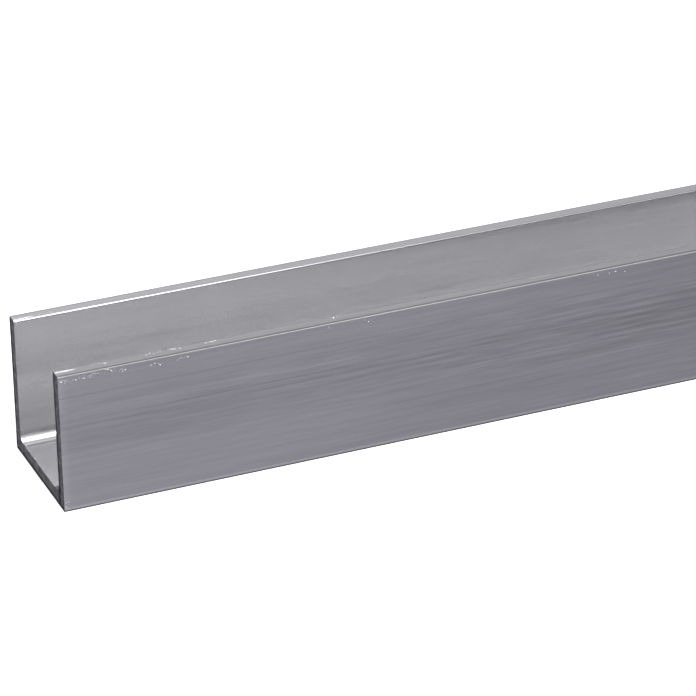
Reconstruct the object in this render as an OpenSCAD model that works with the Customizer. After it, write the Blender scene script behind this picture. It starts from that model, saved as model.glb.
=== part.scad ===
// Aluminium U-channel, extruded in one piece: a flat web with an upright leg
// along each side, open along the top.
//
// The bar lies on its web. +X runs along the bar, +Y from one leg to the
// other, and +Z up. The origin is under the middle of the web, halfway along.

/* [Section] */
// Overall width, over the outer faces of the two legs
profile_w = 20; // [12:0.5:100]
// Height of each leg, from the underside of the web to the leg's tip
leg_h = 20; // [10:0.5:100]
// Wall thickness of each leg
leg_t = 2; // [1:0.1:4]
// Wall thickness of the web
web_t = 2; // [1:0.1:4]

/* [Corners] */
// Radius of the fillet in each corner between a leg and the web
fillet_r = 1; // [0.2:0.1:1.9]
// Radius on each outside edge: under the web, and on both edges of a tip
edge_r = 0.2; // [0.1:0.05:0.45]

/* [Length] */
// Length of the bar
bar_l = 1000; // [50:10:6000]

/* [Hidden] */
$fn = 64;

// Clear width between the legs
slot_w = profile_w - 2 * leg_t;
// How far a corner's outline laps past the walls that it rounds, which is less
// than the thinnest wall
lap = 0.5;
mill_finish = [0.62, 0.62, 0.65];

// The area between a square corner at the origin and the arc that rounds it.
// The arc's centre is on the +X +Y side, and the outline laps past both walls.
module corner(r) {
    difference() {
        translate([-lap, -lap])
            square(r + lap);
        translate([r, r])
            circle(r);
    }
}

// A corner's outline moved to its place and turned about it.
module corner_at(place, turn, r) {
    translate(place)
        rotate(turn)
            corner(r);
}

// The edges that are rounded off on the +X side of the section.
module rounded_edges() {
    corner_at([profile_w / 2, 0], 90, edge_r);
    corner_at([profile_w / 2, leg_h], 180, edge_r);
    corner_at([slot_w / 2, leg_h], 270, edge_r);
}

// Draws its children on both sides of the section's middle line.
module both_sides() {
    children();
    mirror([1, 0, 0])
        children();
}

// The bar's cross-section: X across the bar, Y up.
module section() {
    difference() {
        translate([-profile_w / 2, 0])
            square([profile_w, leg_h]);
        translate([-slot_w / 2, web_t])
            square([slot_w, leg_h]);
        both_sides()
            rounded_edges();
    }
    both_sides()
        corner_at([slot_w / 2, web_t], 90, fillet_r);
}

module u_channel() {
    color(mill_finish)
        rotate([90, 0, 90])
            linear_extrude(bar_l, center = true)
                section();
}

u_channel();
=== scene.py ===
"""Looks for an extruded aluminium U-channel: a swept bar with die lines, sawn ends and burrs.

Everything is in metres, in the model's own frame: X along the bar, Y across it and Z up.
"""

import logging
import math
from dataclasses import dataclass, field
from enum import Enum

import bpy
import numpy as np
from mathutils import Matrix, Vector, noise


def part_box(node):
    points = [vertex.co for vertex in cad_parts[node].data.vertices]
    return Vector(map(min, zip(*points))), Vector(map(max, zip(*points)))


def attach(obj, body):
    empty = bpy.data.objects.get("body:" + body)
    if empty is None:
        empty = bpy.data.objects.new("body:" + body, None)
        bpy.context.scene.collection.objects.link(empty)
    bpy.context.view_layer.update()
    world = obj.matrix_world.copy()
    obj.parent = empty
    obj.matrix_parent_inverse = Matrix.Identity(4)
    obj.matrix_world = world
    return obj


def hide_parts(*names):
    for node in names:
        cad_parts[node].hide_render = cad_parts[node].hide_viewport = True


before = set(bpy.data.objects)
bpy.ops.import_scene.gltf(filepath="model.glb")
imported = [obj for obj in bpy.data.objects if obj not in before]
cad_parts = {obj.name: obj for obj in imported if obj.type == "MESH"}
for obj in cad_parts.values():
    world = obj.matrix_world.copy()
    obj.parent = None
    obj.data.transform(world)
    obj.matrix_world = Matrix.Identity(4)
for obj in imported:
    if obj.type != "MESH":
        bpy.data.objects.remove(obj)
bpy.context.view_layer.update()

MM = 0.001
BODY = "root"
NODE = "u_channel"

log = logging.getLogger("channel")

Triple = tuple[float, float, float]
Colour = Triple
PER_MM: Triple = (1000.0, 1000.0, 1000.0)


# ---------------------------------------------------------------- shader maths


class Signal:
    """A number that varies over a surface. Each sum it is used in adds a Math node."""

    def __init__(self, tree: "Tree", socket: bpy.types.NodeSocket) -> None:
        """Wraps an output socket of a tree."""
        self.tree = tree
        self.socket = socket

    def _maths(self, operation: str, first: "Number", second: "Number") -> "Signal":
        """The result of a Math node on two values."""
        return self.tree.add("ShaderNodeMath", {"operation": operation}, {0: first, 1: second})

    def __add__(self, other: "Number") -> "Signal":
        """self + other."""
        return self._maths("ADD", self, other)

    def __radd__(self, other: "Number") -> "Signal":
        """other + self."""
        return self._maths("ADD", other, self)

    def __sub__(self, other: "Number") -> "Signal":
        """self - other."""
        return self._maths("SUBTRACT", self, other)

    def __rsub__(self, other: "Number") -> "Signal":
        """other - self."""
        return self._maths("SUBTRACT", other, self)

    def __mul__(self, other: "Number") -> "Signal":
        """self * other."""
        return self._maths("MULTIPLY", self, other)

    def __rmul__(self, other: "Number") -> "Signal":
        """other * self."""
        return self._maths("MULTIPLY", other, self)

    def size(self) -> "Signal":
        """The number without its sign."""
        return self._maths("ABSOLUTE", self, 0.0)

    def or_more(self, other: "Number") -> "Signal":
        """The larger of self and other."""
        return self._maths("MAXIMUM", self, other)


Number = Signal | float


class Tree:
    """The nodes of a material or a world, with the few ways in which this file adds to them."""

    def __init__(self, owner: bpy.types.Material | bpy.types.World) -> None:
        """Empties the owner's nodes.

        Args:
            owner: The material or the world.
        """
        self.owner = owner
        owner.use_nodes = True
        self.nodes = owner.node_tree.nodes
        self.links = owner.node_tree.links
        self.nodes.clear()

    def add(
        self,
        kind: str,
        settings: dict[str, object] | None = None,
        inputs: dict[int | str, object] | None = None,
        output: int | str | None = 0,
    ) -> Signal:
        """Adds a node.

        Args:
            kind: The node's type.
            settings: What is set on the node before its sockets.
            inputs: The value or the link of each socket, by number or name.
            output: The output that is wanted, by number or name, or None for a node without one.

        Returns:
            That output.
        """
        node = self.nodes.new(kind)
        for key, value in (settings or {}).items():
            setattr(node, key, value)
        for key, value in (inputs or {}).items():
            if isinstance(value, Signal):
                self.links.new(value.socket, node.inputs[key])
            else:
                node.inputs[key].default_value = value
        return Signal(self, None if output is None else node.outputs[output])

    def place(self) -> Signal:
        """The point's place on the object, in metres."""
        return self.add("ShaderNodeTexCoord", output="Object")

    def part(self, vector: Signal, axis: str) -> Signal:
        """One axis of a vector: X, Y or Z."""
        return self.add("ShaderNodeSeparateXYZ", inputs={0: vector}, output=axis)

    def scaled(self, vector: Signal, by: Triple) -> Signal:
        """A vector with each of its axes scaled."""
        return self.add("ShaderNodeVectorMath", {"operation": "MULTIPLY"}, {0: vector, 1: by})

    def noise(self, vector: Signal, scale: float, detail: float, roughness: float = 0.5) -> Signal:
        """Noise about a mean of one half, with some scale features to a unit of the vector."""
        inputs = {"Vector": vector, "Scale": scale, "Detail": detail, "Roughness": roughness}
        return self.add("ShaderNodeTexNoise", {"noise_dimensions": "3D"}, inputs)

    def streaks(self, place: Signal, length: float, width: float, detail: float = 2.0) -> Signal:
        """Noise drawn out along the bar into streaks of a length and a width in metres."""
        return self.noise(self.scaled(place, (1 / length, 1 / width, 1 / width)), 1.0, detail)

    def between(self, value: Signal, low: float, high: float) -> Signal:
        """A smooth step.

        Args:
            value: What is tested.
            low: Where the step starts.
            high: Where it ends.

        Returns:
            From 0 where value is low to 1 where it is high.
        """
        inputs = {"Value": value, "From Min": low, "From Max": high}
        settings = {"interpolation_type": "SMOOTHSTEP"}
        return self.add("ShaderNodeMapRange", settings, inputs)

    def mix(self, share: Number, first: "Colour | Signal", second: "Colour | Signal") -> Signal:
        """A colour between two others, with the given share of the second."""
        # the Mix node's colour sockets are its seventh and eighth
        inputs = {0: share, 6: opaque(first), 7: opaque(second)}
        return self.add("ShaderNodeMix", {"data_type": "RGBA"}, inputs, 2)

    def bump(self, height: Signal, depth: float, under: Signal | None = None) -> Signal:
        """A normal tilted by a height.

        Args:
            height: The height, from 0 to 1.
            depth: What a height of 1 stands for, in metres.
            under: The normal that it starts from.

        Returns:
            The tilted normal.
        """
        inputs = {"Height": height, "Distance": depth, "Strength": 1.0}
        if under is not None:
            inputs["Normal"] = under
        return self.add("ShaderNodeBump", inputs=inputs, output="Normal")

    def finish(self, inputs: dict[str, object]) -> bpy.types.Material:
        """Ends the tree in a Principled shader.

        Args:
            inputs: The shader's values and links.

        Returns:
            The material.
        """
        shader = self.add("ShaderNodeBsdfPrincipled", inputs=inputs)
        self.add("ShaderNodeOutputMaterial", inputs={"Surface": shader}, output=None)
        return self.owner


def opaque(colour: "Colour | Signal") -> "tuple[float, float, float, float] | Signal":
    """A colour with full alpha, or the link as it is."""
    return colour if isinstance(colour, Signal) else (*colour, 1.0)


def shade(colour: Colour, by: float) -> Colour:
    """A colour made lighter or darker."""
    return tuple(c * by for c in colour)


# ---------------------------------------------------------------- finishes


@dataclass(frozen=True)
class Streak:
    """Streaks of one kind that the die drew along the bar.

    Attributes:
        length: Their length.
        width: Their width.
        weight: How much they change the metal's tone.
        detail: How many octaves their noise has.
    """

    length: float
    width: float
    weight: float
    detail: float = 1.0

    def noise(self, tree: Tree, place: Signal) -> Signal:
        """Their noise about a mean of one half."""
        return tree.streaks(place, self.length, self.width, self.detail)


@dataclass(frozen=True)
class Spot:
    """Where on the bar a point of its surface lies.

    Attributes:
        place: The point.
        across: Its place across the bar. The first leg is on the negative side.
        aside: Its distance from the middle of the bar's width.
        height: Its height over the web's underside.
        inward: Its distance from the nearer sawn end.
    """

    place: Signal
    across: Signal
    aside: Signal
    height: Signal
    inward: Signal


@dataclass(frozen=True)
class MillFinish:
    """Bare metal as it leaves the die, with lengthwise lines.

    Each loss below is the share of its brightness that the metal loses in that place, and each
    gain is what it gains. The losses on the web, in the inside corners, low on the inner faces,
    under and on the inner edges of the tips, on the first leg's tip, on the tips' outer edges, in
    the seam and on the edges that the bar lies on are painted shade, and the gains are painted
    light.

    Attributes:
        half_width: Half the bar's width.
        tip: Height of the legs' tips.
        wall: Thickness of the walls.
        cut: Distance from the middle of the bar to its sawn ends.
        colour: The metal's colour where it is brightest.
        roughness: Its mean roughness.
        brightness: Its mean brightness, as a share of the colour.
        lines: The streaks that show most.
        dashes: The short streaks over them.
        wide: The broad streaks under them.
        clouds: Slow changes in brightness.
        relief: Depth of the streaks in the surface.
        mid_band: The lowest and highest edge of the band across the middle of each outer face,
            where the streaks are strongest and the metal is darker.
        scores: Heights of the thin lines that the die scored in the outer faces.
        score_width: Half the width of such a line.
        outer_dull: On the outer faces.
        band_darkening: More, in the band across the middle of each outer face.
        score_dull: More, in a scored line.
        floor_painted_shade: Painted shade on the web's upper face, at the bottom of the channel.
        root_painted_shade: Painted shade in the inside corners, most at their foot.
        low_leg_painted_shade: Painted shade low on the inner faces.
        eave_painted_shade: Painted shade under the inner edges of the tips, away from the cuts.
        brow_painted_shade: Painted shade that dims the highlight on the inner edges of the tips,
            in full only away from the cuts.
        tip_painted_shade: Painted shade on the first leg's tip.
        edge_painted_shade: Painted shade that dims the highlight on the outer edges of the tips,
            and how much more on the second leg.
        seam_painted_shade: A painted dark line of shade where a tip meets its outer edge.
        sole_painted_shade: Painted contact shadow on the edges that the bar lies on.
        upper_painted_light: Painted light that makes the inner faces brighter, in full only high
            up.
        foot_painted_highlight: A painted highlight on a strip just over the edges that the bar
            lies on.
        cut_painted_highlight: A painted highlight on the outer faces at the cuts.
    """

    half_width: float
    tip: float
    wall: float
    cut: float
    colour: Colour = (0.974, 0.973, 0.985)
    roughness: float = 0.25
    brightness: float = 0.92
    lines: Streak = Streak(24 * MM, 0.55 * MM, 0.75)
    dashes: Streak = Streak(7 * MM, 0.4 * MM, 0.28)
    wide: Streak = Streak(80 * MM, 1.6 * MM, 0.55)
    clouds: Streak = Streak(40 * MM, 7 * MM, 1.0, 2.0)
    relief: float = 0.004 * MM
    mid_band: tuple[float, float] = (6.0 * MM, 17.0 * MM)
    scores: tuple[float, ...] = (16.75 * MM, 13.1 * MM, 12.3 * MM)
    score_width: float = 0.17 * MM
    outer_dull: float = 0.1
    band_darkening: float = 0.06
    score_dull: float = 0.12
    floor_painted_shade: float = 0.52
    root_painted_shade: float = 0.36
    low_leg_painted_shade: float = 0.13
    eave_painted_shade: float = 0.12
    brow_painted_shade: float = 0.588
    tip_painted_shade: float = 0.2
    edge_painted_shade: tuple[float, float] = (0.42, 0.12)
    seam_painted_shade: float = 0.28
    sole_painted_shade: float = 0.85
    upper_painted_light: float = 0.07
    foot_painted_highlight: float = 0.24
    cut_painted_highlight: float = 0.05

    def build(self) -> bpy.types.Material:
        """Makes the material.

        Returns:
            The material.
        """
        tree = Tree(bpy.data.materials.new("mill_finish"))
        spot = self._spot(tree)
        outer = tree.between(spot.aside, self.half_width - 0.4 * MM, self.half_width - 0.1 * MM)
        band = self._mid_band(tree, spot)
        inside = self._inside(tree, spot)
        root = self._root(tree, spot, inside)
        edge = self._outer_edge(tree, spot)
        lines = self.lines.noise(tree, spot.place)
        dashes = tree.between(self.dashes.noise(tree, spot.place), 0.3, 0.7)
        wide = self.wide.noise(tree, spot.place)
        drawn = (
            (lines - 0.5) * self.lines.weight
            + (dashes - 0.5) * self.dashes.weight
            + (wide - 0.5) * self.wide.weight
        )
        clouds = (self.clouds.noise(tree, spot.place) - 0.5) * self.clouds.weight
        # the streaks are strongest in the band across the middle of each outer face, and fade
        # towards the cuts
        away = 0.7 + 0.45 * tree.between(spot.inward, 10 * MM, 90 * MM)
        strong = outer * (0.25 + 0.75 * band) * away
        scored = self._scores(tree, spot.height, lines) * outer
        tone = self.brightness - self.outer_dull * outer
        tone = tone + clouds * (0.06 + 0.15 * outer) + drawn * (0.1 + 0.25 * strong)
        # painted light: brighter inner faces, and painted highlights over the feet and at the cuts
        tone = tone + self._painted_light(tree, spot, outer, inside)
        # painted shade inside the channel, on the tips and their edges and along the edges the bar
        # lies on; the band across the middle of the outer faces and the scored lines darken too
        darkening = self._inside_painted_shade(tree, spot, inside, root)
        darkening = darkening + self._rim_painted_shade(tree, spot, edge)
        darkening = darkening + self.band_darkening * band * outer + self.score_dull * scored
        # the base colour carries the painted shade and painted light together with the metal's own
        # streaks, clouds and scored lines
        colour = tree.mix(tone * (1.0 - darkening), (0.0, 0.0, 0.0), self.colour)
        rough = self.roughness + drawn * (0.06 + 0.14 * strong) + scored * 0.05
        rough = rough - 0.1 * root + 0.2 * edge
        normal = tree.bump(lines * 0.6 + dashes * 0.4, self.relief)
        return tree.finish(
            {"Base Color": colour, "Metallic": 1.0, "Roughness": rough, "Normal": normal}
        )

    def _spot(self, tree: Tree) -> Spot:
        """Where the shaded point lies.

        Args:
            tree: The material's nodes.

        Returns:
            Its place on the bar.
        """
        place = tree.place()
        across = tree.part(place, "Y")
        inward = self.cut - tree.part(place, "X").size()
        return Spot(place, across, across.size(), tree.part(place, "Z"), inward)

    def _mid_band(self, tree: Tree, spot: Spot) -> Signal:
        """How far the point lies in the band across the middle of each outer face.

        Args:
            tree: The material's nodes.
            spot: The point.

        Returns:
            From 0 to 1.
        """
        low, high = self.mid_band
        rise = tree.between(spot.height, low, low + 4 * MM)
        return rise * (1.0 - tree.between(spot.height, high - 2 * MM, high))

    def _inside(self, tree: Tree, spot: Spot) -> Signal:
        """How far the point lies on the faces inside the channel.

        Args:
            tree: The material's nodes.
            spot: The point.

        Returns:
            From 0 to 1.
        """
        gap = self.half_width - self.wall
        clear = 1.0 - tree.between(spot.aside, gap + 0.05 * MM, gap + 0.2 * MM)
        return clear * tree.between(spot.height, 0.5 * self.wall, 0.6 * self.wall)

    def _root(self, tree: Tree, spot: Spot, inside: Signal) -> Signal:
        """How far the point lies in an inside corner.

        Args:
            tree: The material's nodes.
            spot: The point.
            inside: How far it lies inside the channel.

        Returns:
            From 0 to 1, and most at the foot of the corner.
        """
        gap = self.half_width - self.wall
        corner = inside * tree.between(spot.aside, gap - 2.3 * MM, gap - 1.5 * MM)
        above = spot.height - self.wall
        heel = corner * (1.0 - tree.between(above, 0.25 * MM, 0.5 * MM))
        return 0.2 * corner * (1.0 - tree.between(above, 0.8 * MM, 1.3 * MM)) + 0.8 * heel

    def _outer_edge(self, tree: Tree, spot: Spot) -> Signal:
        """How far the point lies on the outer edge of a tip.

        Args:
            tree: The material's nodes.
            spot: The point.

        Returns:
            From 0 to 1.
        """
        high = tree.between(spot.height, self.tip - 0.25 * MM, self.tip - 0.12 * MM)
        side = self.half_width
        return high * tree.between(spot.aside, side - 0.25 * MM, side - 0.12 * MM)

    def _painted_light(self, tree: Tree, spot: Spot, outer: Signal, inside: Signal) -> Signal:
        """Painted light: how much brighter the metal is made in some places.

        Args:
            tree: The material's nodes.
            spot: The point.
            outer: How far it lies on an outer face.
            inside: How far it lies inside the channel.

        Returns:
            The painted light that is added to the metal's brightness.
        """
        # painted light on the inner faces, strongest high up
        upper = inside * (0.3 + 0.7 * tree.between(spot.height, 7 * MM, 12 * MM))
        # a painted highlight on the outer faces at the cuts
        at_cut = 1.0 - tree.between(spot.inward, 0.4 * MM, 1.3 * MM)
        # a painted highlight on a strip just over the edges that the bar lies on
        foot = self._near_outer_face(tree, spot)
        foot = foot * (1.0 - tree.between(spot.height, 0.5 * MM, 0.7 * MM))
        return self.upper_painted_light * upper + self.cut_painted_highlight * at_cut * outer + self.foot_painted_highlight * foot

    def _near_outer_face(self, tree: Tree, spot: Spot) -> Signal:
        """How near the point lies to an outer face."""
        return tree.between(spot.aside, self.half_width - 0.4 * MM, self.half_width - 0.2 * MM)

    def _inside_painted_shade(self, tree: Tree, spot: Spot, inside: Signal, root: Signal) -> Signal:
        """Painted shade: how much brightness the metal is made to lose inside the channel.

        Args:
            tree: The material's nodes.
            spot: The point.
            inside: How far it lies inside the channel.
            root: How far it lies in an inside corner.

        Returns:
            The share of painted shade.
        """
        gap = self.half_width - self.wall
        below = self.tip - spot.height
        above = spot.height - self.wall
        # painted shade on the web's upper face, at the bottom of the channel
        floor = inside * (1.0 - tree.between(above, 0.02 * MM, 0.12 * MM))
        # painted shade low on the inner faces, just above the inside corners
        low_leg = inside * tree.between(spot.height, 2.6 * MM, 3.2 * MM)
        low_leg = low_leg * (1.0 - tree.between(spot.height, 3.2 * MM, 12 * MM))
        # painted shade under the inner edges of the tips, away from the cuts
        eave = inside * (1.0 - tree.between(below, 0.9 * MM, 1.6 * MM))
        eave = eave * tree.between(spot.inward, 30 * MM, 85 * MM)
        # painted shade that dims the highlight on the inner edges of the tips, less near the cuts
        brow = 1.0 - tree.between(below, 0.12 * MM, 0.25 * MM)
        brow = brow * (1.0 - tree.between(spot.aside, gap + 0.15 * MM, gap + 0.25 * MM))
        brow = brow * (0.35 + 0.65 * tree.between(spot.inward, 2 * MM, 50 * MM))
        brow = brow * (1.0 - 0.25 * tree.between(spot.inward, 90 * MM, 160 * MM))
        # painted shade on the web and in the inside corners
        darkening = self.floor_painted_shade * floor + self.root_painted_shade * root
        return darkening + self.low_leg_painted_shade * low_leg + self.eave_painted_shade * eave + self.brow_painted_shade * brow

    def _rim_painted_shade(self, tree: Tree, spot: Spot, edge: Signal) -> Signal:
        """Painted shade: how much brightness the metal is made to lose on the tips and the outer
        edges.

        Args:
            tree: The material's nodes.
            spot: The point.
            edge: How far it lies on the outer edge of a tip.

        Returns:
            The share of painted shade.
        """
        second = tree.between(spot.across, -2 * MM, 2 * MM)
        # painted shade on the first leg's tip only
        tip = tree.between(spot.height, self.tip - 0.25 * MM, self.tip) * (1.0 - second)
        side = self.half_width
        # a painted dark line of shade where a tip meets its outer edge
        seam = tree.between(spot.aside, side - 0.45 * MM, side - 0.3 * MM)
        seam = seam * tree.between(spot.height, self.tip - 0.08 * MM, self.tip - 0.02 * MM)
        # painted contact shadow along the edges that the bar lies on
        sole = self._near_outer_face(tree, spot)
        sole = sole * (1.0 - tree.between(spot.height, 0.18 * MM, 0.3 * MM))
        # painted shade that dims the highlight on the tips' outer edges, more on the second leg
        share, more = self.edge_painted_shade
        darkening = self.tip_painted_shade * tip + (share + more * second) * edge
        return darkening + self.seam_painted_shade * seam + self.sole_painted_shade * sole

    def _scores(self, tree: Tree, height: Signal, lines: Signal) -> Signal:
        """Where the thin scored lines are.

        Args:
            tree: The material's nodes.
            height: The point's height.
            lines: The streaks that the lines fade in and out with.

        Returns:
            1 in the middle of a line and 0 away from it.
        """
        found: Signal | None = None
        for middle in self.scores:
            off = (height - middle).size()
            line = 1.0 - tree.between(off, 0.3 * self.score_width, self.score_width)
            found = line if found is None else found.or_more(line)
        return found * tree.between(lines, 0.2, 0.5)


@dataclass(frozen=True)
class SawnFinish:
    """Metal roughened by a saw blade.

    Attributes:
        half_width: Half the bar's width.
        wall: Thickness of the walls.
        colour: The metal's mean colour.
        roughness: Its mean roughness.
        shades: The darkest and the brightest shade of the colour.
        border: Width of the painted dark line of shade along the underside and one side of each
            leg of the cut.
        coarse: How many of the larger pits there are to a millimetre.
        grain: How many grains there are to a millimetre.
        relief: Depth of the pits.
    """

    half_width: float
    wall: float
    colour: Colour = (0.23, 0.227, 0.237)
    roughness: float = 0.5
    shades: tuple[float, float] = (0.05, 1.95)
    border: float = 0.55 * MM
    coarse: float = 1.1
    grain: float = 4.0
    relief: float = 0.03 * MM

    def build(self) -> bpy.types.Material:
        """Makes the material.

        Returns:
            The material.
        """
        tree = Tree(bpy.data.materials.new("sawn_finish"))
        place = tree.place()
        in_mm = tree.scaled(place, PER_MM)
        coarse = tree.noise(in_mm, self.coarse, 2.0)
        grain = tree.noise(in_mm, self.grain, 3.0, 0.6)
        tone = 0.5 + (coarse - 0.5) * 1.6 + (grain - 0.5) * 1.3
        # a painted dark line of shade along the underside and one side of each leg
        tone = tone - self._painted_shade_line(tree, place) * 1.3
        dark, bright = self.shades
        colour = tree.mix(tone, shade(self.colour, dark), shade(self.colour, bright))
        rough = self.roughness + (grain - 0.5) * 0.3
        normal = tree.bump(grain * 0.6 + coarse * 0.4, self.relief)
        return tree.finish(
            {"Base Color": colour, "Metallic": 1.0, "Roughness": rough, "Normal": normal}
        )

    def _painted_shade_line(self, tree: Tree, place: Signal) -> Signal:
        """Where the painted dark line of shade is: along the underside and one side of each leg.

        Args:
            tree: The material's nodes.
            place: The point.

        Returns:
            1 on the line and 0 away from it.
        """
        across = tree.part(place, "Y")
        reach = 0.7 * self.border
        line = 1.0 - tree.between(tree.part(place, "Z"), reach, self.border)
        for face in (self.half_width, self.wall - self.half_width):
            side = tree.between(across, face - self.border, face - reach)
            side = side * (1.0 - tree.between(across, face + 0.2 * MM, face + 0.3 * MM))
            line = line.or_more(side)
        return line


@dataclass(frozen=True)
class BurrFinish:
    """Freshly torn metal.

    Attributes:
        colour: Its mean colour.
        roughness: Its roughness.
        shades: The darkest and the brightest shade of the colour.
        grain: How many grains there are to a millimetre.
    """

    colour: Colour = (0.62, 0.62, 0.635)
    roughness: float = 0.36
    shades: tuple[float, float] = (0.8, 1.1)
    grain: float = 8.0

    def build(self) -> bpy.types.Material:
        """Makes the material.

        Returns:
            The material.
        """
        tree = Tree(bpy.data.materials.new("torn_metal"))
        grain = tree.noise(tree.scaled(tree.place(), PER_MM), self.grain, 2.0)
        dark, bright = self.shades
        colour = tree.mix(grain, shade(self.colour, dark), shade(self.colour, bright))
        return tree.finish(
            {"Base Color": colour, "Metallic": 1.0, "Roughness": self.roughness}
        )


# ---------------------------------------------------------------- the bar


class End(Enum):
    """The bar's two sawn ends, by the side of the frame they are on."""

    A = -1
    B = 1


@dataclass(frozen=True)
class Section:
    """The bar's cross-section: two skins that run from one leg's tip round the web to the other's.

    Attributes:
        width: Over the outer faces of the legs.
        height: From the underside of the web to the tips.
        wall: Thickness of the legs and of the web.
        fillet_r: Radius of the inside corners.
        edge_r: Radius of the outside edges.
        step: Spacing of the points on the flats.
        edge_steps: Steps round an outside edge.
        fillet_steps: Steps round an inside corner.
        across_steps: Steps from one skin to the other.
    """

    width: float
    height: float
    wall: float = 2.0 * MM
    fillet_r: float = 1.0 * MM
    edge_r: float = 0.2 * MM
    step: float = 0.16 * MM
    edge_steps: int = 5
    fillet_steps: int = 10
    across_steps: int = 12

    def _leg_and_web_steps(self) -> tuple[int, int]:
        """How many steps a leg's flat and the web's flat have."""
        return round(self.height / self.step), round((self.width - 2 * self.wall) / self.step)

    def _half_skin(self, inner: bool) -> np.ndarray:
        """One skin of the leg on the -Y side, from its tip to the middle of the web.

        Args:
            inner: Whether it is the skin inside the channel.

        Returns:
            Its points, as rows of Y and Z.
        """
        leg_steps, web_steps = self._leg_and_web_steps()
        edge, turn = self.edge_r, self.fillet_r if inner else self.edge_r
        face = self.wall - self.width / 2 if inner else -self.width / 2
        floor = self.wall if inner else 0.0
        tip_turn = arc(
            (face - edge if inner else face + edge, self.height - edge),
            edge,
            (90, 0) if inner else (90, 180),
            self.edge_steps,
        )
        corner = arc((face + turn, floor + turn), turn, (180, 270), self.fillet_steps)
        leg = line(tip_turn[-1], corner[0], leg_steps)
        web = line(corner[-1], (0.0, floor), web_steps // 2)
        return np.vstack([tip_turn, leg[1:-1], corner, web[1:]])

    def skin(self, inner: bool) -> np.ndarray:
        """A whole skin, from tip to tip."""
        half = self._half_skin(inner)
        return np.vstack([half, (half * (-1, 1))[-2::-1]])

    def grid(self) -> np.ndarray:
        """The section's area as Y and Z, by the step along the skins and the step across them."""
        share = np.linspace(0, 1, self.across_steps + 1)[None, :, None]
        return self.skin(False)[:, None] * (1 - share) + self.skin(True)[:, None] * share


def arc(
    centre: tuple[float, float], radius: float, turn: tuple[float, float], steps: int
) -> np.ndarray:
    """Points round an arc, as rows, from the first angle to the second, in degrees."""
    angle = np.radians(np.linspace(*turn, steps + 1))
    return np.array(centre) + radius * np.stack([np.cos(angle), np.sin(angle)], 1)


def line(start: np.ndarray, end: np.ndarray, steps: int) -> np.ndarray:
    """Evenly spaced points from start to end, as rows."""
    share = np.linspace(0, 1, steps + 1)[:, None]
    return np.asarray(start) * (1 - share) + np.asarray(end) * share


@dataclass(frozen=True)
class DieLines:
    """The fine ridges and grooves that the die draws along the bar.

    Attributes:
        seed: What the lines are drawn from.
        pitch: Mean distance between lines round the section.
        widths: The narrowest and the widest line.
        depth: Depth of the deepest line.
        swell: Length of the slow change in a line's depth along the bar.
    """

    seed: int = 7
    pitch: float = 0.7 * MM
    widths: tuple[float, float] = (0.12 * MM, 0.7 * MM)
    depth: float = 0.006 * MM
    swell: float = 0.35

    def relief(self, along: np.ndarray, around: np.ndarray) -> np.ndarray:
        """How far each point of the bar's surface stands out.

        Args:
            along: The stations' places along the bar.
            around: The outline's places round the section.

        Returns:
            A row for each station, with a height for each place round it.
        """
        draw = np.random.default_rng(self.seed)
        girth = float(around.max())
        count = round(girth / self.pitch)
        height = np.zeros((len(along), len(around)))
        for _ in range(count):
            middle = draw.uniform(0, girth)
            width = draw.uniform(*self.widths)
            depth = draw.uniform(-1.0, 0.6) * self.depth
            phase = draw.uniform(0, 2 * math.pi)
            shape = np.exp(-(((around - middle) / width) ** 2))
            fade = 0.65 + 0.35 * np.sin(2 * math.pi * along / self.swell + phase)
            height += depth * fade[:, None] * shape[None, :]
        return height


@dataclass(frozen=True)
class SawCut:
    """What a saw blade does to an end of the bar.

    Attributes:
        blade_centre: Centre of the blade, in Y and Z.
        pitch: Distance between the marks of its teeth.
        depth: Depth of the marks.
        lip: How far the burr at the cut stands out at its raggedest.
        droop: How far the edge is drawn in beside the burr.
        lip_reach: How far along the bar both reach.
    """

    blade_centre: tuple[float, float] = (-0.06, 0.11)
    pitch: float = 0.42 * MM
    depth: float = 0.012 * MM
    lip: float = 0.07 * MM
    droop: float = 0.03 * MM
    lip_reach: float = 0.3 * MM

    def marks(self, points: np.ndarray, end: End) -> np.ndarray:
        """How deep the face is cut at each point.

        Args:
            points: Rows of Y and Z.
            end: The end that is cut.

        Returns:
            The depths, in metres.
        """
        radius = np.hypot(*(points - self.blade_centre).T)
        waver = np.array([noise.noise(Vector((y * 300, z * 300, end.value))) for y, z in points])
        pits = np.array([noise.noise(Vector((y * 2500, z * 2500, end.value))) for y, z in points])
        swing = np.sin(2 * math.pi * radius / self.pitch + 2.0 * waver)
        return self.depth * (1.0 + 0.6 * swing + 0.8 * pits)

    def burr(self, inward: np.ndarray, around: np.ndarray) -> np.ndarray:
        """How far the burr stands out near a cut.

        Args:
            inward: The stations' distances from the cut.
            around: The outline's places round the section.

        Returns:
            A row for each station, with a height for each place round it.
        """
        ragged = np.array([noise.noise(Vector((s * 1800, 3.1, 0.7))) for s in around])
        swell = np.array([noise.noise(Vector((s * 250, 8.2, 1.9))) for s in around])
        share = np.clip(swell + 0.7 * ragged, 0, None)
        edge = self.lip * share - self.droop
        return np.exp(-inward / self.lip_reach)[:, None] * edge[None, :]


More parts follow.
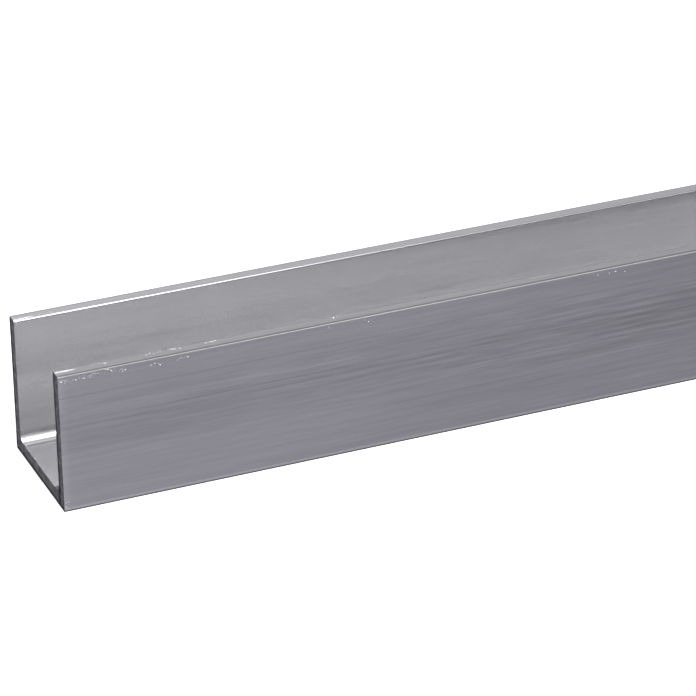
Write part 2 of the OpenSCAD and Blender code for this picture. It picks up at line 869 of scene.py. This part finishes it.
@dataclass(frozen=True)
class BakeSheet:
    """Where each face of the bar lies on the square that its colours are baked to.

    The bar's length is folded into two strips, and its ends are unrolled above them.

    Attributes:
        margin: The gap round each strip.
        strip: Height of one half of the bar's length.
        end: Height of one unrolled end.
    """

    margin: float = 0.004
    strip: float = 0.47
    end: float = 0.014

    def side(self, along: np.ndarray, around: np.ndarray) -> np.ndarray:
        """Places of the long faces' corners.

        Args:
            along: From 0 at one end of the bar to 2 at the other, with a fold at 1. All corners of
                a face are on the same side of the fold.
            around: From 0 to 1 round the section.

        Returns:
            Rows of U and V.
        """
        fold = (along.mean(axis=-1, keepdims=True) > 1).astype(float)
        u = self.margin + (along - fold) * (1 - 2 * self.margin)
        v = self.margin + fold * (self.strip + self.margin) + around * self.strip
        return np.stack([u, v], -1)

    def cap(self, end: End, along: np.ndarray, across: np.ndarray) -> np.ndarray:
        """Places of a sawn end's corners.

        Args:
            end: The end.
            along: From 0 to 1 along the skins.
            across: From 0 to 1 between them.

        Returns:
            Rows of U and V.
        """
        row = 0 if end is End.A else 1
        base = 2 * (self.strip + self.margin) + self.margin + row * (self.end + self.margin)
        u = self.margin + along * (1 - 2 * self.margin)
        return np.stack([u, base + across * self.end], -1)


@dataclass
class ChannelBar:
    """The bar itself: its section swept along X, closed by two sawn ends.

    Attributes:
        section: Its cross-section.
        length: Its length.
        lines: The die's ridges and grooves.
        cut: What the saw did to its ends.
        sheet: Where its faces lie on the sheet that its colours are baked to.
        spacing: The most distance between two stations along it.
        end_spacing: Distances of the first stations from each cut, in millimetres.
    """

    section: Section
    length: float
    lines: DieLines = field(default_factory=DieLines)
    cut: SawCut = field(default_factory=SawCut)
    sheet: BakeSheet = field(default_factory=BakeSheet)
    spacing: float = 14.0 * MM
    end_spacing: tuple[float, ...] = (0.0, 0.06, 0.14, 0.3, 0.6, 1.2, 2.5, 5.0)

    def stations(self) -> np.ndarray:
        """Places along X at which the section is drawn, close together near the cuts.

        Returns:
            The places, in order. One of them is halfway along.
        """
        near = np.array(self.end_spacing) * MM
        steps = math.ceil((self.length / 2 - near[-1]) / self.spacing)
        rest = np.linspace(near[-1], self.length / 2, steps + 1)[1:]
        half = np.concatenate([near, rest]) - self.length / 2
        return np.concatenate([half, -half[-2::-1]])

    def build(self) -> bpy.types.Object:
        """Makes the bar's mesh and dresses it.

        Returns:
            The bar.
        """
        grid = self.section.grid()
        rows, columns = grid.shape[:2]
        index = outline_order(rows, columns)
        loop = grid.reshape(-1, 2)[index]
        gaps = np.linalg.norm(np.roll(loop, -1, 0) - loop, axis=1)
        around = np.concatenate([[0], np.cumsum(gaps)])
        stations = self.stations()
        points = self._surface(stations, loop, around[:-1])
        corners, uvs = self._sides(stations, around)
        cap_points, cap_corners, cap_uvs = self._caps(grid, index, points)
        mesh = bpy.data.meshes.new("channel_bar")
        mesh.from_pydata(
            np.vstack([points.reshape(-1, 3), cap_points]),
            [],
            np.vstack([corners, cap_corners]),
        )
        layer = mesh.uv_layers.new(name="OFBake")
        layer.uv.foreach_set("vector", np.vstack([uvs, cap_uvs]).astype(np.float32).ravel())
        self._mark_ends(mesh, len(corners), len(stations), len(loop))
        bar = bpy.data.objects.new("channel_bar", mesh)
        bpy.context.scene.collection.objects.link(bar)
        half_width, wall = self.section.width / 2, self.section.wall
        mill = MillFinish(half_width, self.section.height, wall, self.length / 2)
        bar.data.materials.append(mill.build())
        bar.data.materials.append(SawnFinish(half_width, wall).build())
        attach(bar, BODY)
        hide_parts(NODE)
        return bar

    def _surface(self, stations: np.ndarray, loop: np.ndarray, around: np.ndarray) -> np.ndarray:
        """The long faces' points.

        Args:
            stations: The places along X.
            loop: The section's outline, as rows of Y and Z.
            around: Each point's place round the outline.

        Returns:
            An array whose axes are the station, the place round the outline, and X, Y and Z.
        """
        tangent = np.roll(loop, -1, 0) - np.roll(loop, 1, 0)
        outward = np.stack([tangent[:, 1], -tangent[:, 0]], 1)
        outward /= np.linalg.norm(outward, axis=1, keepdims=True)
        inward = self.length / 2 - np.abs(stations)
        height = self.lines.relief(stations, around) + self.cut.burr(inward, around)
        points = np.empty((len(stations), len(loop), 3))
        points[:, :, 0] = stations[:, None]
        points[:, :, 1:] = loop[None] + outward[None] * height[:, :, None]
        return points

    def _sides(self, stations: np.ndarray, around: np.ndarray) -> tuple[np.ndarray, np.ndarray]:
        """The long faces.

        Args:
            stations: The places along X.
            around: The outline's places, with the girth at the end.

        Returns:
            Each face's four corners, and a row of U and V for each of them.
        """
        count = len(around) - 1
        station, place = np.meshgrid(np.arange(len(stations) - 1), np.arange(count), indexing="ij")
        station, place = station.ravel(), place.ravel()
        steps = ((0, 0), (0, 1), (1, 1), (1, 0))
        corners = np.stack([(station + s) * count + (place + p) % count for s, p in steps], 1)
        along = np.stack([stations[station + s] for s, _ in steps], 1) / (self.length / 2) + 1
        turn = np.stack([around[place + p] for _, p in steps], 1) / around[-1]
        return corners, self.sheet.side(along, turn).reshape(-1, 2)

    def _caps(
        self, grid: np.ndarray, index: np.ndarray, points: np.ndarray
    ) -> tuple[np.ndarray, np.ndarray, np.ndarray]:
        """The sawn ends.

        Args:
            grid: The section's area.
            index: The outline's points, by their number in the grid.
            points: The long faces' points.

        Returns:
            The points that the ends add, each face's four corners, and a row of U and V for each
            of them.
        """
        rows, columns = grid.shape[:2]
        flat = grid.reshape(-1, 2)
        inside = np.setdiff1d(np.arange(len(flat)), index)
        row, column = np.meshgrid(np.arange(rows - 1), np.arange(columns - 1), indexing="ij")
        row, column = row.ravel(), column.ravel()
        steps = ((0, 0), (1, 0), (1, 1), (0, 1))
        cells = np.stack([(row + r) * columns + column + c for r, c in steps], 1)
        along = np.stack([(row + r) / (rows - 1) for r, _ in steps], 1)
        across = np.stack([(column + c) / (columns - 1) for _, c in steps], 1)
        added, corners, uvs = [], [], []
        start = points.shape[0] * points.shape[1]
        for end in End:
            ring = 0 if end is End.A else points.shape[0] - 1
            number = np.empty(len(flat), int)
            number[index] = ring * points.shape[1] + np.arange(points.shape[1])
            number[inside] = start + np.arange(len(inside))
            start += len(inside)
            depth = self.cut.marks(flat[inside], end)
            x = end.value * (self.length / 2 - depth)
            added.append(np.column_stack([x, flat[inside]]))
            order = slice(None, None, end.value)
            corners.append(number[cells][:, order])
            uvs.append(self.sheet.cap(end, along, across)[:, order].reshape(-1, 2))
        return np.vstack(added), np.vstack(corners), np.vstack(uvs)

    @staticmethod
    def _mark_ends(mesh: bpy.types.Mesh, sides: int, stations: int, count: int) -> None:
        """Gives the sawn ends their own material, and a sharp edge round each.

        Args:
            mesh: The bar's mesh.
            sides: How many long faces it has, which come first.
            stations: How many sections it was swept through.
            count: How many points the outline has.
        """
        slots = np.zeros(len(mesh.polygons), np.int32)
        slots[sides:] = 1
        mesh.polygons.foreach_set("material_index", slots)
        mesh.shade_smooth()
        ends = np.empty(2 * len(mesh.edges), np.int32)
        mesh.edges.foreach_get("vertices", ends)
        ends = ends.reshape(-1, 2)
        first = (ends < count).all(1)
        last = ((ends >= (stations - 1) * count) & (ends < stations * count)).all(1)
        sharp = mesh.attributes.new("sharp_edge", "BOOLEAN", "EDGE")
        sharp.data.foreach_set("value", first | last)
        mesh.update()


def outline_order(rows: int, columns: int) -> np.ndarray:
    """The numbers of a grid's border points, out along the first column and back by the last."""
    number = np.arange(rows * columns).reshape(rows, columns)
    return np.concatenate([number[:, 0], number[-1, 1:], number[-2::-1, -1], number[0, -2:0:-1]])


@dataclass(frozen=True)
class Seat:
    """A place on the bar's surface where a flake of torn metal sits.

    Attributes:
        point: The place.
        out: Which way the surface faces there.
        down: The way along the surface that leads from the edge.
        drop: The least and the most distance from the edge.
        ragged: How thickly flakes sit along the edge.
    """

    point: Vector
    out: Vector
    down: Vector
    drop: tuple[float, float] = (0.0, 0.0)
    ragged: float = 1.0


@dataclass
class TornEdges:
    """Small bright flakes where the legs' edges were torn, thickest near the sawn ends.

    Attributes:
        section: The bar's cross-section.
        length: The bar's length.
        seed: What the flakes are drawn from.
        flake: The least and the most radius of a flake.
        drop: How far below a tip flakes sit on a leg's faces.
        tip_drop: How far from a leg's inner face they sit on its tip.
        spread: How far a cluster spreads along the bar and away from the edge.
        crowd: The fewest and the most flakes in a cluster at a cut.
        ragged: How thickly flakes sit along the first leg's edges and the second's.
        sides: How many sides a flake has.
        sink: How far a flake's foot is sunk in the metal.
        near_gap: Mean distance between clusters near a cut.
        near_reach: How far from a cut the clusters stay close together.
        far_gap: Mean distance between clusters away from the cuts.
        least_gap: The least distance between clusters.
        clear: The length at each cut that clusters keep off.
        fin: Length and radius of a fin on a tip, and its distance from the inner face.
        fin_start: The fin's distance from the cut.
        fin_steps: How many steps a fin has.
        fin_outline: A fin's section, in radii along the tip and out of it.
        web_flakes: How many flakes sit on the sawn edge of the web.
        web_flake: The least and the most radius of such a flake.
        foot_flakes: How many sit at the foot of each leg.
        foot_height: The least and the most height at which they sit.
        foot_reach: How far along the bar they lie.
        inset: Distance from the cut of the flakes on the web, and the least of those at the feet.
    """

    section: Section
    length: float
    seed: int = 23
    flake: tuple[float, float] = (0.05 * MM, 0.15 * MM)
    drop: tuple[float, float] = (0.45 * MM, 1.0 * MM)
    tip_drop: tuple[float, float] = (0.35 * MM, 0.6 * MM)
    spread: tuple[float, float] = (0.6 * MM, 0.17 * MM)
    crowd: tuple[int, int] = (10, 36)
    ragged: tuple[float, float] = (1.0, 0.12)
    sides: int = 5
    sink: float = 0.02 * MM
    near_gap: float = 1.6 * MM
    near_reach: float = 45.0 * MM
    far_gap: float = 45.0 * MM
    least_gap: float = 0.8 * MM
    clear: float = 0.1 * MM
    fin: tuple[float, float, float] = (2.9 * MM, 0.15 * MM, 0.6 * MM)
    fin_start: float = 0.05 * MM
    fin_steps: int = 12
    fin_outline: tuple[tuple[float, float], ...] = (
        (-0.7, 0.0),
        (-0.5, 0.9),
        (0.3, 1.1),
        (0.9, 0.0),
        (0.0, -0.5),
    )
    web_flakes: int = 9
    web_flake: tuple[float, float] = (0.06 * MM, 0.13 * MM)
    foot_flakes: int = 7
    foot_height: tuple[float, float] = (0.3 * MM, 1.6 * MM)
    foot_reach: float = 0.5 * MM
    inset: float = 0.12 * MM
    draw: np.random.Generator = field(init=False)
    points: list[Vector] = field(init=False, default_factory=list)
    faces: list[tuple[int, ...]] = field(init=False, default_factory=list)

    def __post_init__(self) -> None:
        """Starts the random draws from the seed."""
        self.draw = np.random.default_rng(self.seed)

    def build(self) -> bpy.types.Object:
        """Makes all flakes as one mesh and dresses them.

        Returns:
            The flakes.
        """
        for end in End:
            for rim in self._rims(end):
                self._line_of_clusters(rim, end)
                if rim.out.z > 0:
                    self._add_fin(rim, end)
            self._cut_edge(end)
        mesh = bpy.data.meshes.new("torn_edges")
        mesh.from_pydata(self.points, [], self.faces)
        flakes = bpy.data.objects.new("torn_edges", mesh)
        bpy.context.scene.collection.objects.link(flakes)
        flakes.data.materials.append(BurrFinish().build())
        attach(flakes, BODY)
        return flakes

    def _rims(self, end: End) -> list[Seat]:
        """The legs' top edges, each as its seat at a sawn end.

        Args:
            end: The end.

        Returns:
            For both legs the outer face, the inner face and the tip, each from the edge on.
        """
        half, wall, top = self.section.width / 2, self.section.wall, self.section.height
        x = end.value * self.length / 2
        seats = []
        for side, ragged in zip((-1, 1), self.ragged, strict=True):
            across = Vector((0, side, 0))
            inner, outer = across * (half - wall), across * half
            base = Vector((x, 0, top))
            down = Vector((0, 0, -1))
            seats.append(Seat(base + outer, across, down, self.drop, ragged))
            seats.append(Seat(base + inner, -across, down, self.drop, ragged))
            seats.append(Seat(base + inner, -down, across, self.tip_drop, ragged))
        return seats

    def _line_of_clusters(self, rim: Seat, end: End) -> None:
        """Puts clusters of flakes along half of a rim, further apart away from the cut.

        Args:
            rim: The rim's end.
            end: The end that it starts from.
        """
        along = self.draw.uniform(0.2, 0.8) * MM
        while along < self.length / 2:
            near = math.exp(-along / self.near_reach)
            drop = self.draw.uniform(*rim.drop)
            middle = rim.point + Vector((-end.value * along, 0, 0)) + rim.down * drop
            count = int(rim.ragged * (1.2 + self.draw.uniform(*self.crowd) * near**2))
            for _ in range(count):
                shift = self.draw.normal(0, 1, 2)
                sideways = self.spread[1] * max(shift[1], -1.0)
                point = middle + Vector((shift[0] * self.spread[0], 0, 0)) + rim.down * sideways
                if abs(point.x) < self.length / 2 - self.clear:
                    self._add_flake(Seat(point, rim.out, rim.down), self.draw.uniform(*self.flake))
            gap = self.near_gap + (self.far_gap - self.near_gap) * (1 - near) ** 2
            along += self.draw.exponential(gap) + self.least_gap

    def _add_fin(self, rim: Seat, end: End) -> None:
        """Adds a fin that the saw turned up along a leg's tip.

        Args:
            rim: The rim's end.
            end: The end that it starts from.
        """
        first = len(self.points)
        reach, radius, inset = self.fin
        side = Vector((-end.value, 0, 0))
        start = rim.point + rim.down * inset
        for step in range(self.fin_steps + 1):
            share = step / self.fin_steps
            along = side * (self.fin_start + reach * share)
            size = radius * self.draw.uniform(0.6, 1.0) * (1 - share**4)
            size = max(size, 0.2 * radius)
            for u, v in self.fin_outline:
                self.points.append(start + along + rim.down * u * size + rim.out * v * size)
        ring = len(self.fin_outline)
        # the outline turns the other way round on some rims, and its faces are turned back there
        order = 1 if rim.down.cross(rim.out).dot(side) < 0 else -1
        for step in range(self.fin_steps):
            for corner in range(ring):
                a = first + step * ring + corner
                b = first + step * ring + (corner + 1) % ring
                self.faces.append((a, b, b + ring, a + ring)[::order])
        last = first + self.fin_steps * ring
        self.faces.append(tuple(range(first, first + ring))[::-order])
        self.faces.append(tuple(range(last, last + ring))[::order])

    def _cut_edge(self, end: End) -> None:
        """Puts flakes along the sawn edge of the web and the foot of the legs.

        Args:
            end: The end.
        """
        half, wall = self.section.width / 2, self.section.wall
        x = end.value * (self.length / 2 - self.inset)
        along = Vector((1, 0, 0))
        for _ in range(self.web_flakes):
            across = self.draw.uniform(-1, 1) * (half - 1.6 * wall)
            seat = Seat(Vector((x, across, wall)), Vector((0, 0, 1)), along)
            self._add_flake(seat, self.draw.uniform(*self.web_flake))
        for side in (-1, 1):
            for _ in range(self.foot_flakes):
                height = self.draw.uniform(*self.foot_height)
                inward = self.draw.uniform(0.0, self.foot_reach)
                point = Vector((x - end.value * inward, side * half, height))
                seat = Seat(point, Vector((0, side, 0)), Vector((0, 0, -1)))
                self._add_flake(seat, self.draw.uniform(*self.flake))

    def _add_flake(self, seat: Seat, size: float) -> None:
        """Adds one flake: a low, crooked point over a ragged foot.

        Args:
            seat: Where it sits.
            size: Its mean radius.
        """
        side = seat.out.cross(seat.down)
        turn = self.draw.uniform(0, math.pi)
        stretch = self.draw.uniform(1.0, 1.8)
        first = len(self.points)
        for corner in range(self.sides):
            angle = 2 * math.pi * corner / self.sides
            reach = size * self.draw.uniform(0.6, 1.2)
            a, b = math.cos(angle) * reach * stretch, math.sin(angle) * reach / stretch
            u = a * math.cos(turn) - b * math.sin(turn)
            v = a * math.sin(turn) + b * math.cos(turn)
            self.points.append(seat.point + side * u + seat.down * v - seat.out * self.sink)
        lean = self.draw.normal(0, 0.3, 2) * size
        rise = size * self.draw.uniform(0.5, 1.1)
        self.points.append(seat.point + side * lean[0] + seat.down * lean[1] + seat.out * rise)
        self.points.append(seat.point - seat.out * 2 * self.sink)
        tip, foot = first + self.sides, first + self.sides + 1
        for corner in range(self.sides):
            a, b = first + corner, first + (corner + 1) % self.sides
            self.faces += [(b, a, tip), (a, b, foot)]


# ---------------------------------------------------------------- the studio


@dataclass(frozen=True)
class Softbox:
    """A soft light that points at the object.

    Attributes:
        name: Its name.
        place: Where it is.
        side: The length of each of its sides.
        power: Its power in watts.
    """

    name: str
    place: Triple
    side: float
    power: float

    def build(self, aim: Vector) -> None:
        """Makes the light.

        Args:
            aim: Where it points.
        """
        light = bpy.data.lights.new(self.name, "AREA")
        light.shape = "RECTANGLE"
        light.size = light.size_y = self.side
        light.energy = self.power
        lamp = bpy.data.objects.new(self.name, light)
        lamp.location = self.place
        lamp.rotation_mode = "QUATERNION"
        lamp.rotation_quaternion = (aim - Vector(self.place)).to_track_quat("-Z", "Y")
        bpy.context.scene.collection.objects.link(lamp)


@dataclass(frozen=True)
class Sky:
    """The soft light from all round, which the bare metal mirrors.

    A direction's X, Y and Z run from -1 to 1, and each pair of them is where something starts to
    show and where it shows in full.

    Attributes:
        deep: Colour straight below.
        under: Colour just below the horizon.
        around: Colour just above it.
        over: Colour of the two bright panels overhead.
        ground: Z from deep to under.
        horizon: Z from under to around.
        shadow: X at which the part below the horizon darkens, and by how much.
        front: How much brighter the front is than around.
        panel: Direction of the bright panel over the front.
        panel_edge: How nearly a direction has to point at the panel.
        strength: Its strength over the middle of the bar.
        fade_b: How much weaker it is towards end B, and the X at which that starts and ends.
        fade_a: The share that is left towards end A, and the X at which that starts and ends.
    """

    deep: Colour = (0.0, 0.0, 0.0)
    under: Colour = (0.332, 0.325, 0.364)
    around: Colour = (0.46, 0.455, 0.475)
    over: Colour = (1.5, 1.48, 1.52)
    ground: tuple[float, float] = (-0.95, -0.5)
    horizon: tuple[float, float] = (-0.3, 0.1)
    shadow: tuple[float, float, float] = (0.3, 0.5, 0.26)
    front: float = 1.8
    panel: Triple = (0.26, -0.40, 0.88)
    panel_edge: tuple[float, float] = (0.90, 0.97)
    strength: float = 1.38
    fade_b: Triple = (0.8, -0.2, 0.9)
    fade_a: Triple = (0.6, -0.8, 0.0)

    def build(self) -> None:
        """Makes the world."""
        world = bpy.data.worlds.new("studio")
        tree = Tree(world)
        toward = tree.add("ShaderNodeTexCoord", output="Generated")
        x, y, z = (tree.part(toward, axis) for axis in "XYZ")
        level = self._level(tree, x, y, z)
        colour = tree.mix(self._panels(tree, x, y, z), level, self.over)
        less, start, full = self.fade_b
        strength = self.strength - less * tree.between(x, start, full)
        left, start, full = self.fade_a
        strength = strength * (left + (1.0 - left) * tree.between(x, start, full))
        back = tree.add("ShaderNodeBackground", inputs={"Color": colour, "Strength": strength})
        tree.add("ShaderNodeOutputWorld", inputs={"Surface": back}, output=None)
        bpy.context.scene.world = world

    def _level(self, tree: Tree, x: Signal, y: Signal, z: Signal) -> Signal:
        """The sky's colour without its panels.

        Args:
            tree: The world's nodes.
            x: The direction's share along the bar.
            y: Its share across the bar.
            z: Its share upwards.

        Returns:
            The colour.
        """
        start, full, share = self.shadow
        low = tree.mix(tree.between(z, *self.ground), self.deep, self.under)
        low = tree.mix(share * tree.between(x, start, full), low, self.deep)
        level = tree.mix(tree.between(z, *self.horizon), low, self.around)
        front = tree.between(z, 0.12, 0.3) * (1.0 - tree.between(z, 0.5, 0.65))
        front = front * (1.0 - tree.between(y, -0.25, -0.05))
        return tree.mix(front, level, shade(self.around, self.front))

    def _panels(self, tree: Tree, x: Signal, y: Signal, z: Signal) -> Signal:
        """Where the two bright panels are.

        Args:
            tree: The world's nodes.
            x: The direction's share along the bar.
            y: Its share across the bar.
            z: Its share upwards.

        Returns:
            1 on a panel and 0 away from it.
        """
        over_front = x * self.panel[0] + y * self.panel[1] + z * self.panel[2]
        lit = tree.between(over_front, *self.panel_edge) * (1.0 - tree.between(x, 0.27, 0.4))
        over_back = tree.between(z, 0.70, 0.80) * (1.0 - tree.between(z, 0.90, 0.96))
        return lit.or_more(0.9 * over_back * tree.between(y, 0.0, 0.2))


@dataclass(frozen=True)
class Studio:
    """A pale floor, soft lights and the camera.

    Attributes:
        end: The middle of the bar's end A, on the floor.
        reach: How far along the bar from there the camera and the lights point.
        height: How high they point.
        distance: The camera's distance from where it points.
        azimuth: The way it looks, in degrees from +Y towards +X.
        elevation: How far it looks down, in degrees.
        roll: How far it is turned about its own axis, in degrees.
        lens: Its focal length in millimetres.
        sky: The light from all round.
        lights: The lights near the object.
        floor_half: Half the floor's side.
    """

    end: Vector
    reach: float = 0.04475
    height: float = 0.01042
    distance: float = 0.54268
    azimuth: float = 22.116
    elevation: float = 26.658
    roll: float = 1.026
    lens: float = 205.655
    sky: Sky = Sky()
    lights: tuple[Softbox, ...] = (
        Softbox("key_light", (-0.43, -0.17, 0.34), 0.24, 0.76),
        Softbox("fill_light", (0.42, -0.80, 0.70), 0.8, 6.3),
    )
    floor_half: float = 8.0

    def build(self) -> None:
        """Makes the floor, the lights and the camera."""
        aim = self.end + Vector((self.reach, 0.0, self.height))
        self._floor()
        self.sky.build()
        for light in self.lights:
            light.build(aim)
        self._camera(aim)
        bpy.context.scene.view_settings.view_transform = "Standard"

    def _floor(self) -> None:
        """Makes the floor, which the metal doesn't mirror."""
        mesh = bpy.data.meshes.new("floor")
        half = self.floor_half
        corners = [(-half, -half, 0), (half, -half, 0), (half, half, 0), (-half, half, 0)]
        mesh.from_pydata(corners, [], [(0, 1, 2, 3)])
        floor = bpy.data.objects.new("floor", mesh)
        bpy.context.scene.collection.objects.link(floor)
        tree = Tree(bpy.data.materials.new("pale_floor"))
        material = tree.finish(
            {
                "Base Color": (0.9, 0.9, 0.9, 1.0),
                "Roughness": 0.9,
                "Emission Color": (1.0, 1.0, 1.0, 1.0),
                "Emission Strength": 0.6,
            }
        )
        floor.data.materials.append(material)
        floor.visible_glossy = False

    def _camera(self, aim: Vector) -> None:
        """Makes the camera.

        Args:
            aim: Where it points.
        """
        data = bpy.data.cameras.new("camera")
        data.lens = self.lens
        data.sensor_width = 36.0
        data.clip_start = 0.01
        camera = bpy.data.objects.new("camera", data)
        turn, rise = math.radians(self.azimuth), math.radians(self.elevation)
        ahead = Vector(
            (math.sin(turn) * math.cos(rise), math.cos(turn) * math.cos(rise), -math.sin(rise))
        )
        level = ahead.cross(Vector((0, 0, 1))).normalized()
        right = Matrix.Rotation(math.radians(self.roll), 3, ahead) @ level
        up = right.cross(ahead)
        camera.matrix_world = Matrix.Translation(aim - ahead * self.distance) @ (
            Matrix((right, up, -ahead)).transposed().to_4x4()
        )
        bpy.context.scene.collection.objects.link(camera)
        bpy.context.scene.camera = camera


def report(piece: bpy.types.Object) -> None:
    """Logs what a piece came to."""
    mesh = piece.data
    log.info("%s: %d points, %d faces", piece.name, len(mesh.vertices), len(mesh.polygons))


def main() -> None:
    """Builds the bar and the studio."""
    logging.basicConfig(level=logging.INFO, format="%(name)s: %(message)s")
    low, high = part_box(NODE)
    size = high - low
    section = Section(size.y, size.z)
    report(ChannelBar(section, size.x).build())
    report(TornEdges(section, size.x).build())
    Studio(Vector((low.x, 0.0, low.z))).build()


if __name__ == "__main__":
    main()
